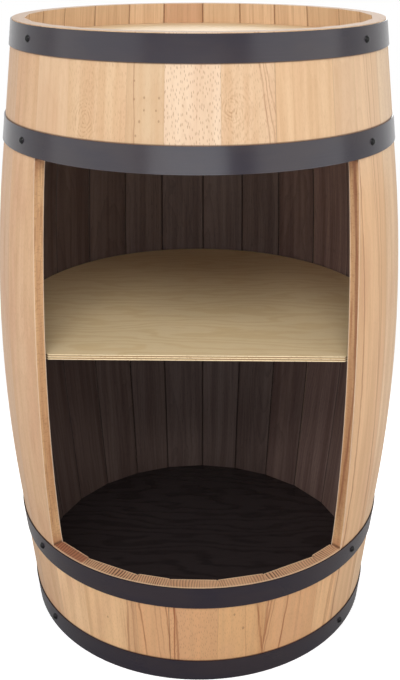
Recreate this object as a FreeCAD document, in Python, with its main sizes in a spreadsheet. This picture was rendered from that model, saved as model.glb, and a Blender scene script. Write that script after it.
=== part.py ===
import FreeCAD, Part
import math
import os

import Sketcher
from FreeCAD import Placement, Rotation, Vector

# Barrel bar cabinet: a coopered barrel with an open front, one shelf and four steel hoops.
# Millimetres and degrees. +Z is up, the open front faces -Y, and the origin is the bottom
# centre of the whole cabinet. Angles round the barrel start at the front and grow towards +X.

# Driving dimensions, kept in the sheet
SIZES = {
    # Barrel wall: staves bent over the middle stretch, with straight sloping ends
    "barrel_height": 800,
    "belly_diameter": 528,
    "bend_height": 440,
    "stave_splay": 6.64,
    "stave_thickness": 17,
    "stave_ease": 1.2,
    # Opening: its width between the front staves' outer joints, and how far the staves beside it
    # curve in past those joints at mid-height
    "opening_angle": 95.8,
    "opening_curve": 9.4,
    "opening_curve_blend": 400,
    # Hoops: flat steel strip, lapped and riveted at the back
    "hoop_width": 30,
    "hoop_thickness": 1.5,
    "hoop_clearance": 0.1,
    "end_hoop_setback": 1,
    "quarter_hoop_offset": 269,
    "hoop_lap_length": 64,
    "rivet_spacing": 34,
    "rivet_head_diameter": 8,
    "rivet_head_height": 2,
    "rivet_shank_diameter": 4,
    # Round-head screws: hoop to stave, cleat to stave, shelf to cleat
    "hoop_screw_head_diameter": 9,
    "hoop_screw_head_height": 3,
    "hoop_screw_shank_diameter": 3,
    "hoop_screw_length": 14,
    "cleat_screw_head_diameter": 7,
    "cleat_screw_head_height": 2.4,
    "cleat_screw_shank_diameter": 3.5,
    "cleat_screw_length": 30,
    "shelf_screw_head_diameter": 6,
    "shelf_screw_head_height": 2,
    "shelf_screw_shank_diameter": 3,
    "shelf_screw_length": 25,
    "screw_tip_length": 3,
    "bore_clearance": 0.1,
    # Heads: plywood discs seated in the croze grooves of the staves
    "head_thickness": 12,
    "head_depth": 28,
    "head_bevel": 1.5,
    "croze_depth": 5,
    "head_clearance": 0.2,
    # Shelf and the cleats that carry it
    "shelf_height": 414,
    "shelf_thickness": 7,
    "shelf_clearance": 1,
    "shelf_front_reach": 170,
    "cleat_width": 44,
    "cleat_depth": 18,
    "cleat_height": 20,
    "cleat_bevel": 8,
    "cleat_clearance": 0.1,
    "cleat_screw_spacing": 24,
    # How far every cut runs past the piece that it cuts
    "cut_overrun": 4,
}

# Widths of the staves in order round the barrel, as shares of the arc that they fill
FRONT_WIDTH_SHARES = (12.5, 17.9, 9.9, 14.2, 14.3, 18.1, 8.9)
REAR_WIDTH_SHARES = (
    13.5, 14, 14.5, 15, 15, 16.6, 14.5, 14.1, 14.5,
    15.1, 14, 14.9, 15.4, 14, 14.1, 15.8, 15.7, 13.5,
)

# Rear staves, counted from 1 at the opening's +X side, that take the hoop screws and the cleats
HOOP_SCREW_STAVES = (1, 6, 13, 18)
CLEAT_STAVES = (3, 7, 12, 16)

doc = FreeCAD.newDocument("barrel_bar_cabinet")
sheet = doc.addObject("Spreadsheet::Sheet", "Sizes")
for row, (alias, number) in enumerate(SIZES.items(), start=1):
    sheet.set(f"A{row}", alias)
    sheet.set(f"B{row}", str(number))
    sheet.setAlias(f"B{row}", alias)
doc.recompute()


def value(expression):
    """Number that an expression in the sheet's sizes comes to."""
    return float(sheet.evalExpression(expression))


# Expressions that several pieces share
HALF_HEIGHT = "(Sizes.barrel_height / 2)"
BELLY_RADIUS = "(Sizes.belly_diameter / 2)"
HALF_BEND = "(Sizes.bend_height / 2)"
SLOPE = "tan(Sizes.stave_splay)"
BEND_RADIUS = f"({HALF_BEND} / sin(Sizes.stave_splay))"
TANGENT_RADIUS = f"({BELLY_RADIUS} - {HALF_BEND} * tan(Sizes.stave_splay / 2))"
END_RADIUS = f"({TANGENT_RADIUS} - ({HALF_HEIGHT} - {HALF_BEND}) * {SLOPE})"
WALL = "(Sizes.stave_thickness / cos(Sizes.stave_splay))"
HOOP_WALL = "(Sizes.hoop_thickness / cos(Sizes.stave_splay))"
CORE_RADIUS = f"({END_RADIUS} - 2 * {WALL})"
END_HOOP_DEPTH = "(Sizes.end_hoop_setback + Sizes.hoop_width / 2)"
QUARTER_HOOP_DEPTH = f"({HALF_HEIGHT} - Sizes.quarter_hoop_offset)"
CUT_DEPTH = f"({QUARTER_HOOP_DEPTH} + Sizes.hoop_width / 2)"
CURVE_TURN = f"(Sizes.opening_curve / {CORE_RADIUS} * 180 / pi)"
HEAD_MIDDLE_DEPTH = "(Sizes.head_depth + Sizes.head_thickness / 2)"
SHELF_UNDERSIDE = "(Sizes.shelf_height - Sizes.shelf_thickness)"

# Each hoop's end of the barrel, and how deep its middle lies from that end
HOOPS = {
    "top_end_hoop": ("top", END_HOOP_DEPTH),
    "upper_quarter_hoop": ("top", QUARTER_HOOP_DEPTH),
    "lower_quarter_hoop": ("bottom", QUARTER_HOOP_DEPTH),
    "bottom_end_hoop": ("bottom", END_HOOP_DEPTH),
}


def outer_radius(depth):
    """Outside of the wall on its straight end, at a depth from that end."""
    return f"({END_RADIUS} + ({depth}) * {SLOPE})"


def hoop_radius(depth, layers):
    """Face of a hoop at a depth from the barrel's end, with so many strip layers below it."""
    return f"({outer_radius(depth)} + Sizes.hoop_clearance + {layers} * {HOOP_WALL})"


def bend_radius_inside(height, gap):
    """Inside of the wall on its bent stretch at a height, less a gap."""
    face = f"({BEND_RADIUS} - Sizes.stave_thickness - {gap})"
    return f"({BELLY_RADIUS} - {BEND_RADIUS} + sqrt({face}^2 - (({height}) - {HALF_HEIGHT})^2))"


def height_at(end, depth):
    """Height of a point at a depth from the barrel's top or bottom end."""
    return f"({depth})" if end == "bottom" else f"(Sizes.barrel_height - ({depth}))"


def tilt_at(end):
    """Slope of the wall's outward normal near one end."""
    splay = value("Sizes.stave_splay")
    return splay if end == "top" else -splay


CROZE_RADIUS = f"({outer_radius(HEAD_MIDDLE_DEPTH)} - {WALL} + Sizes.croze_depth)"
AXIS_Y = value(f"({hoop_radius(CUT_DEPTH, 1)} - {BELLY_RADIUS}) / 2")


def on_barrel(angle):
    """Placement on the barrel's axis whose +X points out of the wall at an angle."""
    return Placement(Vector(0, AXIS_Y, 0), Rotation(Vector(0, 0, 1), angle - 90))


def on_wall(angle, radius, height, tilt):
    """Placement at a point of the wall whose +X leans up from the horizontal by tilt."""
    lean = Placement(Vector(radius, 0, height), Rotation(Vector(0, 1, 0), -tilt))
    return on_barrel(angle) * lean


def spread(first, arc, shares):
    """Middle angle and width expression of each stave along an arc."""
    staves = []
    edge = first
    for share in shares:
        width = f"({arc}) * {share} / {sum(shares)}"
        staves.append((edge + value(width) / 2, width))
        edge += value(width)
    return staves


def new_body(label):
    body = doc.addObject("PartDesign::Body", label)
    body.Label = label
    return body


def sketch_on(body, role, name):
    """Empty sketch on one of the body's own origin planes."""
    plane = next(feature for feature in body.Origin.OriginFeatures if feature.Role == role)
    sketch = body.newObject("Sketcher::SketchObject", name)
    sketch.AttachmentSupport = [(plane, "")]
    sketch.MapMode = "FlatFace"
    return sketch


def pin_point(sketch, edge, point, x, y):
    """Bind one point of a sketch's edge to a pair of expressions."""
    for kind, axis, expression in (("DistanceX", -2, x), ("DistanceY", -1, y)):
        if expression == "0":
            sketch.addConstraint(Sketcher.Constraint("PointOnObject", edge, point, axis))
            continue
        index = sketch.addConstraint(Sketcher.Constraint(kind, edge, point, value(expression)))
        sketch.setExpression(f"Constraints[{index}]", expression)


def outline(sketch, corners, arcs=None):
    """Draw a closed loop through corners given as pairs of expressions.

    arcs holds, by the number of a side's first corner, a point on that side and its radius.
    """
    arcs = arcs or {}
    points = [Vector(value(x), value(y), 0) for x, y in corners]
    sides = []
    for number, start in enumerate(points):
        end = points[(number + 1) % len(points)]
        first, last = 1, 2
        if number in arcs:
            through_x, through_y, _ = arcs[number]
            through = Vector(value(through_x), value(through_y), 0)
            edge = sketch.addGeometry(Part.Arc(start, through, end))
            if (through - start).cross(end - through).z < 0:
                # A sketch keeps every arc counter-clockwise, so this one starts at its other end
                first, last = last, first
        else:
            edge = sketch.addGeometry(Part.LineSegment(start, end))
        sides.append((edge, first, last))
    for number, (x, y) in enumerate(corners):
        edge, first, last = sides[number]
        following, joined, _ = sides[(number + 1) % len(sides)]
        sketch.addConstraint(Sketcher.Constraint("Coincident", edge, last, following, joined))
        pin_point(sketch, edge, first, x, y)
    for number, (_, _, radius) in arcs.items():
        index = sketch.addConstraint(Sketcher.Constraint("Radius", sides[number][0], value(radius)))
        sketch.setExpression(f"Constraints[{index}]", radius)


def rectangle(sketch, left, bottom, right, top):
    outline(sketch, [(left, bottom), (right, bottom), (right, top), (left, top)])


def round_hole(sketch, x, y, diameter):
    """Circle at a pair of expressions."""
    radius = f"({diameter} / 2)"
    centre = Vector(value(x), value(y), 0)
    edge = sketch.addGeometry(Part.Circle(centre, Vector(0, 0, 1), value(radius)))
    pin_point(sketch, edge, 3, x, y)
    index = sketch.addConstraint(Sketcher.Constraint("Radius", edge, value(radius)))
    sketch.setExpression(f"Constraints[{index}]", radius)


def turned(body, kind, name, sketch, axis, angle="360", back_angle=None):
    """Revolution or Groove of a sketch about one of its own axes, one way or both ways."""
    feature = body.newObject(kind, name)
    feature.Profile = sketch
    feature.ReferenceAxis = (sketch, [axis])
    feature.setExpression("Angle", angle)
    if back_angle:
        feature.Type = "TwoAngles"
        feature.setExpression("Angle2", back_angle)
    return feature


def cut_through(body, name, sketch):
    """Pocket through the whole body, both ways from its sketch."""
    pocket = body.newObject("PartDesign::Pocket", name)
    pocket.Profile = sketch
    pocket.Type = "ThroughAll"
    pocket.SideType = "Symmetric"
    return pocket


def padded(body, name, sketch, length, side_type="One side"):
    pad = body.newObject("PartDesign::Pad", name)
    pad.Profile = sketch
    pad.SideType = side_type
    pad.setExpression("Length", length)
    return pad


def bored(body, name, turn, radius, height, tilt, diameter, depth):
    """Blind round hole, square to a wall face at a point of the body's own radius and height."""
    sketch = sketch_on(body, "XZ_Plane", f"{name}_section")
    about_axis = Placement(Vector(), Rotation(Vector(0, 1, 0), turn))
    at_face = Placement(Vector(radius, height, 0), Rotation(Vector(0, 0, 1), tilt))
    sketch.AttachmentOffset = about_axis * at_face
    rectangle(sketch, f"-({depth})", "0", "Sizes.cut_overrun", f"({diameter} / 2 + Sizes.bore_clearance)")
    return turned(body, "PartDesign::Groove", name, sketch, "H_Axis")


def long_inner_edges(shape, inside):
    """Names of the edges along the inner corners of a stave."""
    names = []
    for number, edge in enumerate(shape.Edges, start=1):
        middle = edge.valueAt((edge.FirstParameter + edge.LastParameter) / 2)
        box = edge.BoundBox
        upright = box.ZLength > max(box.XLength, box.YLength)
        if upright and middle.x < inside(middle.z):
            names.append(f"Edge{number}")
    return names


def wall_middle(height):
    """Distance from the axis to the middle of the wall at a height."""
    depth = min(height, value("Sizes.barrel_height") - height)
    bent = max(0, depth - value(f"{HALF_HEIGHT} - {HALF_BEND}"))
    straight = value(END_RADIUS) + depth * value(SLOPE) - value(WALL) / 2
    return straight - bent ** 2 / (2 * value(BEND_RADIUS))


def curved_side(body, label, width, way):
    """Shape a stave's side beside the opening: radial joints at the ends, curved out between them.

    The long curve swells to its middle, and two short hollow curves blend it into the joints.
    """
    section = sketch_on(body, "YZ_Plane", f"{label}_curved_side")
    section.AttachmentOffset = Placement(Vector(), Rotation(Vector(0, 1, 0), way * value(width) / 2))
    out = "" if way > 0 else "-"
    half_opening = f"({HALF_HEIGHT} - {CUT_DEPTH})"
    turn = f"(2 * atan(Sizes.opening_curve / {half_opening}))"
    blend = "Sizes.opening_curve_blend"
    swell = f"({half_opening} / sin({turn}) - {blend})"
    beyond = f"{out}(2 * Sizes.opening_curve + Sizes.cut_overrun)"
    blend_out = f"{out}({blend} * (1 - cos({turn})))"
    blend_depth = f"({CUT_DEPTH} + {blend} * sin({turn}))"
    middle_out = f"{out}({blend} * (1 - cos({turn} / 2)))"
    middle_depth = f"({CUT_DEPTH} + {blend} * sin({turn} / 2))"
    corners = [
        (beyond, height_at("bottom", "-Sizes.cut_overrun")),
        ("0", height_at("bottom", "-Sizes.cut_overrun")),
        ("0", height_at("bottom", CUT_DEPTH)),
        (blend_out, height_at("bottom", blend_depth)),
        (blend_out, height_at("top", blend_depth)),
        ("0", height_at("top", CUT_DEPTH)),
        ("0", height_at("top", "-Sizes.cut_overrun")),
        (beyond, height_at("top", "-Sizes.cut_overrun")),
    ]
    curves = {
        2: (middle_out, height_at("bottom", middle_depth), blend),
        3: (f"{out}Sizes.opening_curve", HALF_HEIGHT, swell),
        4: (middle_out, height_at("top", middle_depth), blend),
    }
    outline(section, corners, curves)
    return cut_through(body, f"{label}_opening_side", section)


def stave(label, middle, width, opening_way=0):
    """Bent stave: round outside, flat inside, radial joints and croze grooves for the heads.

    opening_way tells on which side the stave borders the opening, if it does.
    """
    body = new_body(label)
    low_bend = f"({HALF_HEIGHT} - {HALF_BEND})"
    high_bend = f"({HALF_HEIGHT} + {HALF_BEND})"
    side = sketch_on(body, "XZ_Plane", f"{label}_side")
    outline(
        side,
        [
            (CORE_RADIUS, "0"),
            (END_RADIUS, "0"),
            (TANGENT_RADIUS, low_bend),
            (TANGENT_RADIUS, high_bend),
            (END_RADIUS, "Sizes.barrel_height"),
            (CORE_RADIUS, "Sizes.barrel_height"),
        ],
        {2: (BELLY_RADIUS, HALF_HEIGHT, BEND_RADIUS)},
    )
    ahead = f"({width} / 2 + {max(opening_way, 0)} * {CURVE_TURN})"
    behind = f"({width} / 2 + {max(-opening_way, 0)} * {CURVE_TURN})"
    turned(body, "PartDesign::Revolution", f"{label}_wedge", side, "V_Axis", ahead, behind)

    inner_x = f"({TANGENT_RADIUS} - Sizes.stave_thickness * cos(Sizes.stave_splay))"
    inner_rise = "(Sizes.stave_thickness * sin(Sizes.stave_splay))"
    inner_end = f"({END_RADIUS} - {WALL} - Sizes.cut_overrun * {SLOPE})"
    inner_belly = f"({BELLY_RADIUS} - Sizes.stave_thickness)"
    hollow_side = f"({CORE_RADIUS} - Sizes.cut_overrun)"
    past_top = "(Sizes.barrel_height + Sizes.cut_overrun)"
    hollow = sketch_on(body, "XZ_Plane", f"{label}_hollow")
    outline(
        hollow,
        [
            (hollow_side, "-Sizes.cut_overrun"),
            (inner_end, "-Sizes.cut_overrun"),
            (inner_x, f"({low_bend} + {inner_rise})"),
            (inner_x, f"({high_bend} - {inner_rise})"),
            (inner_end, past_top),
            (hollow_side, past_top),
        ],
        {2: (inner_belly, HALF_HEIGHT, f"({BEND_RADIUS} - Sizes.stave_thickness)")},
    )
    plain = cut_through(body, f"{label}_flat_inside", hollow)
    if opening_way:
        plain = curved_side(body, label, width, opening_way)
    doc.recompute()

    eased = body.newObject("PartDesign::Chamfer", f"{label}_eased_edges")
    eased.Base = (plain, long_inner_edges(plain.Shape, wall_middle))
    eased.setExpression("Size", "Sizes.stave_ease")

    croze = sketch_on(body, "XZ_Plane", f"{label}_croze")
    slot = "(Sizes.head_thickness + Sizes.head_clearance)"
    top_seat = height_at("top", "Sizes.head_depth + Sizes.head_thickness")
    rectangle(croze, CORE_RADIUS, "Sizes.head_depth", CROZE_RADIUS, f"(Sizes.head_depth + {slot})")
    rectangle(croze, CORE_RADIUS, top_seat, CROZE_RADIUS, f"({top_seat} + {slot})")
    turned(body, "PartDesign::Groove", f"{label}_croze_grooves", croze, "V_Axis")
    body.Placement = on_barrel(middle)
    return body


def cut_stave(label, middle, width, end):
    """Front stave sawn off at the opening, with only the stub at one end of the barrel left."""
    body = stave(label, middle, width)
    saw = sketch_on(body, "XZ_Plane", f"{label}_saw")
    left = f"({CORE_RADIUS} - Sizes.cut_overrun)"
    right = f"({BELLY_RADIUS} + Sizes.cut_overrun)"
    cut = height_at(end, CUT_DEPTH)
    if end == "bottom":
        rectangle(saw, left, cut, right, "(Sizes.barrel_height + Sizes.cut_overrun)")
    else:
        rectangle(saw, left, "-Sizes.cut_overrun", right, cut)
    cut_through(body, f"{label}_opening", saw)
    return body


def hoop(label, end, depth):
    """Steel strip rolled to the wall's slope, with its ends lapped at the back."""
    body = new_body(label)
    shallow = f"({depth} - Sizes.hoop_width / 2)"
    deep = f"({depth} + Sizes.hoop_width / 2)"
    near, far = (shallow, deep) if end == "bottom" else (deep, shallow)
    half_lap = f"({lap_turn(depth)} / 2)"
    for layer, (name, ahead, behind) in enumerate((("ring", "360", None), ("lap", half_lap, half_lap))):
        section = sketch_on(body, "XZ_Plane", f"{label}_{name}_section")
        outline(
            section,
            [
                (hoop_radius(near, layer), height_at(end, near)),
                (hoop_radius(near, layer + 1), height_at(end, near)),
                (hoop_radius(far, layer + 1), height_at(end, far)),
                (hoop_radius(far, layer), height_at(end, far)),
            ],
        )
        turned(body, "PartDesign::Revolution", f"{label}_{name}", section, "V_Axis", ahead, behind)
    height = value(height_at(end, depth))
    doc.recompute()
    for angle in screw_angles:
        name = f"{label}_screw_hole_{round(angle)}"
        face = value(hoop_radius(depth, 1))
        through = f"({HOOP_WALL} + Sizes.cut_overrun)"
        bored(body, name, angle - 180, face, height, tilt_at(end), "Sizes.hoop_screw_shank_diameter", through)
    for number, turn in enumerate(rivet_turns(depth), start=1):
        name = f"{label}_rivet_hole_{number}"
        face = value(hoop_radius(depth, 2))
        through = f"(2 * {HOOP_WALL} + Sizes.cut_overrun)"
        bored(body, name, turn, face, height, tilt_at(end), "Sizes.rivet_shank_diameter", through)
    body.Placement = on_barrel(180)
    return body


def lap_turn(depth):
    """Angle that a hoop's lap takes up."""
    return f"(Sizes.hoop_lap_length / {hoop_radius(depth, 1)} * 180 / pi)"


def rivet_turns(depth):
    """Angles of a hoop's two rivets from the middle of its lap."""
    half = value(f"Sizes.rivet_spacing / 2 / {hoop_radius(depth, 2)} * 180 / pi")
    return (-half, half)


def dome(sketch, prefix, shank):
    """Section of a round-head fastener along its own axis, with its head's underside at zero."""
    head = f"(Sizes.{prefix}_head_diameter / 2)"
    rise = f"Sizes.{prefix}_head_height"
    ball = f"(({head}^2 + {rise}^2) / (2 * {rise}))"
    corners = [(shank[0][0], "0"), (rise, "0"), ("0", head), ("0", shank[-1][1])]
    corners += list(reversed(shank[1:]))
    slant = f"({head} / {ball})"
    half_turn = f"(asin({slant}) / 2)"
    through = (f"({rise} - {ball} + {ball} * cos({half_turn}))", f"({ball} * sin({half_turn}))", ball)
    outline(sketch, corners, {1: through})


def round_head_screw(label, prefix):
    """Screw with a domed head, a plain shank and a cone point."""
    body = new_body(label)
    length = f"Sizes.{prefix}_length"
    radius = f"(Sizes.{prefix}_shank_diameter / 2)"
    section = sketch_on(body, "XZ_Plane", f"{label}_section")
    dome(section, prefix, [(f"-{length}", "0"), (f"(Sizes.screw_tip_length - {length})", radius)])
    turned(body, "PartDesign::Revolution", f"{label}_turned", section, "H_Axis")
    return body


def rivet(label):
    """Rivet with a domed head and a plain shank through both layers of a lap."""
    body = new_body(label)
    grip = "(-2 * Sizes.hoop_thickness)"
    section = sketch_on(body, "XZ_Plane", f"{label}_section")
    dome(section, "rivet", [(grip, "0"), (grip, "(Sizes.rivet_shank_diameter / 2)")])
    turned(body, "PartDesign::Revolution", f"{label}_turned", section, "H_Axis")
    return body


def group(label, piece, places):
    """Identical pieces at several places, as one node of separate solids."""
    copies = []
    for number, place in enumerate(places, start=1):
        copy = doc.addObject("App::Link", f"{label}_{number}")
        copy.LinkedObject = piece
        copy.LinkPlacement = place
        copies.append(copy)
    whole = doc.addObject("Part::Compound", label)
    whole.Label = label
    whole.Links = copies
    return whole


def barrel_head(label, seat):
    """Plywood disc with eased rims, seated in a croze."""
    body = new_body(label)
    rim = sketch_on(body, "XY_Plane", f"{label}_rim")
    round_hole(rim, "0", "0", f"(2 * ({CROZE_RADIUS} - Sizes.head_clearance))")
    disc = padded(body, f"{label}_disc", rim, "Sizes.head_thickness")
    doc.recompute()
    bevel = body.newObject("PartDesign::Chamfer", f"{label}_bevel")
    rims = [f"Edge{number}" for number, edge in enumerate(disc.Shape.Edges, start=1) if edge.isClosed()]
    bevel.Base = (disc, rims)
    bevel.setExpression("Size", "Sizes.head_bevel")
    body.Placement = Placement(Vector(0, AXIS_Y, value(seat)), Rotation())
    return body


def cleat_screw_offsets():
    half = "(Sizes.cleat_screw_spacing / 2)"
    return (f"-{half}", half)


def cleat(label, angle):
    """Hardwood block screwed to the flat inside of one stave, with its back cut to the stave's bend."""
    body = new_body(label)
    foot = f"({SHELF_UNDERSIDE} - Sizes.cleat_height)"
    face = f"({BEND_RADIUS} - Sizes.stave_thickness - Sizes.cleat_clearance)"
    middle = f"({SHELF_UNDERSIDE} - Sizes.cleat_height / 2)"
    side = sketch_on(body, "XZ_Plane", f"{label}_side")
    outline(
        side,
        [
            (CLEAT_FRONT, f"({foot} + Sizes.cleat_bevel)"),
            (f"({CLEAT_FRONT} + Sizes.cleat_bevel)", foot),
            (bend_radius_inside(foot, "Sizes.cleat_clearance"), foot),
            (bend_radius_inside(SHELF_UNDERSIDE, "Sizes.cleat_clearance"), SHELF_UNDERSIDE),
            (CLEAT_FRONT, SHELF_UNDERSIDE),
        ],
        {2: (bend_radius_inside(middle, "Sizes.cleat_clearance"), middle, face)},
    )
    padded(body, f"{label}_block", side, "Sizes.cleat_width", "Symmetric")

    screws = sketch_on(body, "YZ_Plane", f"{label}_screw_holes")
    bore = "(Sizes.cleat_screw_shank_diameter + 2 * Sizes.bore_clearance)"
    for offset in cleat_screw_offsets():
        round_hole(screws, offset, CLEAT_SCREW_HEIGHT, bore)
    cut_through(body, f"{label}_screw_bores", screws)

    upright = sketch_on(body, "XY_Plane", f"{label}_shelf_screw_hole")
    bore = "(Sizes.shelf_screw_shank_diameter + 2 * Sizes.bore_clearance)"
    round_hole(upright, SHELF_SCREW_RADIUS, "0", bore)
    cut_through(body, f"{label}_shelf_screw_bore", upright)
    body.Placement = on_barrel(angle)
    return body


def shelf(label):
    """Plywood shelf: a disc inside the staves with a straight front edge, bored for its screws."""
    body = new_body(label)
    farthest = f"max(abs(Sizes.shelf_height - {HALF_HEIGHT}); abs({SHELF_UNDERSIDE} - {HALF_HEIGHT}))"
    radius = bend_radius_inside(f"{HALF_HEIGHT} + {farthest}", "Sizes.shelf_clearance")
    half_front = f"sqrt({radius}^2 - Sizes.shelf_front_reach^2)"
    board = sketch_on(body, "XY_Plane", f"{label}_board")
    outline(
        board,
        [(half_front, "-Sizes.shelf_front_reach"), (f"-{half_front}", "-Sizes.shelf_front_reach")],
        {0: ("0", radius, radius)},
    )
    padded(body, f"{label}_board_pad", board, "Sizes.shelf_thickness")

    holes = sketch_on(body, "XY_Plane", f"{label}_screw_holes")
    bore = "(Sizes.shelf_screw_shank_diameter + 2 * Sizes.bore_clearance)"
    for angle in cleat_angles:
        across = f"({SHELF_SCREW_RADIUS} * sin({angle}))"
        deep = f"(-{SHELF_SCREW_RADIUS} * cos({angle}))"
        round_hole(holes, across, deep, bore)
    pocket = body.newObject("PartDesign::Pocket", f"{label}_screw_bores")
    pocket.Profile = holes
    pocket.Reversed = True
    pocket.setExpression("Length", SHELF_SCREW_BITE)
    body.Placement = Placement(Vector(0, AXIS_Y, value(SHELF_UNDERSIDE)), Rotation())
    return body


# Where the cleats and their screws stand, from the inside of the staves
CLEAT_SCREW_HEIGHT = f"({SHELF_UNDERSIDE} - Sizes.cleat_height / 2)"
CLEAT_BACK = bend_radius_inside(CLEAT_SCREW_HEIGHT, "Sizes.cleat_clearance")
CLEAT_FRONT = f"({CLEAT_BACK} - Sizes.cleat_depth)"
CLEAT_SCREW_BITE = "(Sizes.cleat_screw_length - Sizes.cleat_depth)"
SHELF_SCREW_RADIUS = f"({CLEAT_BACK} - Sizes.cleat_depth / 2)"
SHELF_SCREW_BITE = "(Sizes.shelf_screw_length - Sizes.cleat_height + Sizes.bore_clearance)"

half_opening = value("Sizes.opening_angle") / 2
front = spread(-half_opening, "Sizes.opening_angle", FRONT_WIDTH_SHARES)
rear = spread(half_opening, "360 - Sizes.opening_angle", REAR_WIDTH_SHARES)
screw_angles = [rear[number - 1][0] for number in HOOP_SCREW_STAVES]
cleat_angles = [rear[number - 1][0] for number in CLEAT_STAVES]

# Staves
pieces = []
for number, (middle, width) in enumerate(rear, start=1):
    label = f"rear_stave_{number:02d}"
    opening_way = {1: -1, len(rear): 1}.get(number, 0)
    piece = stave(label, middle, width, opening_way)
    if number in HOOP_SCREW_STAVES:
        for hoop_name, (end, depth) in HOOPS.items():
            face = value(hoop_radius(depth, 1))
            bite = "(Sizes.hoop_screw_length + Sizes.bore_clearance)"
            height = value(height_at(end, depth))
            name = f"{label}_{hoop_name}_screw_hole"
            bored(piece, name, 0, face, height, tilt_at(end), "Sizes.hoop_screw_shank_diameter", bite)
    if number in CLEAT_STAVES:
        holes = sketch_on(piece, "YZ_Plane", f"{label}_cleat_screw_holes")
        bore = "(Sizes.cleat_screw_shank_diameter + 2 * Sizes.bore_clearance)"
        for offset in cleat_screw_offsets():
            round_hole(holes, offset, CLEAT_SCREW_HEIGHT, bore)
        pocket = piece.newObject("PartDesign::Pocket", f"{label}_cleat_screw_bores")
        pocket.Profile = holes
        pocket.Reversed = True
        pocket.setExpression("Length", f"({CLEAT_BACK} + {CLEAT_SCREW_BITE} + Sizes.bore_clearance)")
    pieces.append(piece)
for position, end in (("upper", "top"), ("lower", "bottom")):
    for number, (middle, width) in enumerate(front, start=1):
        pieces.append(cut_stave(f"{position}_front_stave_{number}", middle, width, end))

# Hoops with their rivets and screws
for label, (end, depth) in HOOPS.items():
    pieces.append(hoop(label, end, depth))
rivet_places = []
screw_places = []
for end, depth in HOOPS.values():
    height = value(height_at(end, depth))
    for turn in rivet_turns(depth):
        rivet_places.append(on_wall(180 + turn, value(hoop_radius(depth, 2)), height, tilt_at(end)))
    for angle in screw_angles:
        screw_places.append(on_wall(angle, value(hoop_radius(depth, 1)), height, tilt_at(end)))
pieces.append(group("hoop_rivets", rivet("rivet"), rivet_places))
pieces.append(group("hoop_screws", round_head_screw("hoop_screw", "hoop_screw"), screw_places))

# Heads
pieces.append(barrel_head("top_head", height_at("top", "Sizes.head_depth + Sizes.head_thickness")))
pieces.append(barrel_head("bottom_head", "Sizes.head_depth"))

# Shelf on its cleats
pieces.append(shelf("shelf"))
cleat_screw_places = []
shelf_screw_places = []
for number, angle in enumerate(cleat_angles, start=1):
    pieces.append(cleat(f"shelf_cleat_{number}", angle))
    for offset in cleat_screw_offsets():
        aside = Placement(Vector(0, value(offset), 0), Rotation())
        seat = on_wall(angle, value(CLEAT_FRONT), value(CLEAT_SCREW_HEIGHT), 0) * aside
        cleat_screw_places.append(seat * Placement(Vector(), Rotation(Vector(0, 0, 1), 180)))
    foot = value(f"{SHELF_UNDERSIDE} - Sizes.cleat_height")
    shelf_screw_places.append(on_wall(angle, value(SHELF_SCREW_RADIUS), foot, -90))
pieces.append(group("cleat_screws", round_head_screw("cleat_screw", "cleat_screw"), cleat_screw_places))
pieces.append(group("shelf_screws", round_head_screw("shelf_screw", "shelf_screw"), shelf_screw_places))

# Every feature must have worked before anything is written
doc.recompute()
for item in doc.Objects:
    if "Invalid" in item.State or "Error" in item.State:
        raise RuntimeError(f"{item.Name} failed: {item.State}")
for piece in pieces:
    if piece.Shape.isNull() or not piece.Shape.isValid():
        raise RuntimeError(f"{piece.Label} has no valid shape")
os.makedirs("parts", exist_ok=True)
for piece in pieces:
    piece.Shape.exportStep(f"parts/{piece.Label}.step")
    print(piece.Label, len(piece.Shape.Solids), round(piece.Shape.Volume))
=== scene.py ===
import math
import random

import bpy
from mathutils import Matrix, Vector

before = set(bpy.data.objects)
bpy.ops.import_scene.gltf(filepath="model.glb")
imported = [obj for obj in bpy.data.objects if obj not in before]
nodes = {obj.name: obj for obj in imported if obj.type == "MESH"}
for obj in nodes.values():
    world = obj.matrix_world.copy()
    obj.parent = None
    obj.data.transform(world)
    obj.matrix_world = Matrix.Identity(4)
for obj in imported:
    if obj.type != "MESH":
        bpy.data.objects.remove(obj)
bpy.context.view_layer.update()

# Barrel geometry in millimetres and degrees, as built
AXIS_Y = -7.556
MID_HEIGHT = 400.0
BELLY_RADIUS = 264.0
BEND_HALF = 220.0
BEND_DROP = 0.0002643
HEAD_TOP = 772.0
HEAD_THICK = 12.0
BOTTOM_HEAD_TOP = 40.0
SHELF_UNDER = 407.0
SHELF_THICK = 7.0
OPENING_LOW, OPENING_HIGH = 146.0, 654.0
SAWN_INNER = 230.2
HOOP_EDGES = ((769.0, -1), (684.0, 1), (654.0, -1), (146.0, 1), (116.0, -1), (31.0, 1))
OPENING = 95.8
FRONT_SHARES = (12.5, 17.9, 9.9, 14.2, 14.3, 18.1, 8.9)
REAR_SHARES = (
    13.5, 14, 14.5, 15, 15, 16.6, 14.5, 14.1, 14.5, 15.1, 14, 14.9, 15.4, 14, 14.1, 15.8, 15.7, 13.5,
)

# Where looks change on the staves, in millimetres, and the layers of the plywood
SIDE_INNER = -15.0
STAIN_TOP = 764.0
RIM_FOOT = 790.0
PALE_FOOT, PALE_FULL = 590.0, 700.0
LINE_FADE = 25.0
FLECK_LEAN = 0.05
PLIES = 5.0


def linear(red, green, blue):
    """Linear colour of an 8-bit display colour."""
    out = []
    for part in (red, green, blue):
        part /= 255.0
        out.append(part / 12.92 if part <= 0.04045 else ((part + 0.055) / 1.055) ** 2.4)
    return (*out, 1.0)


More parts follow.
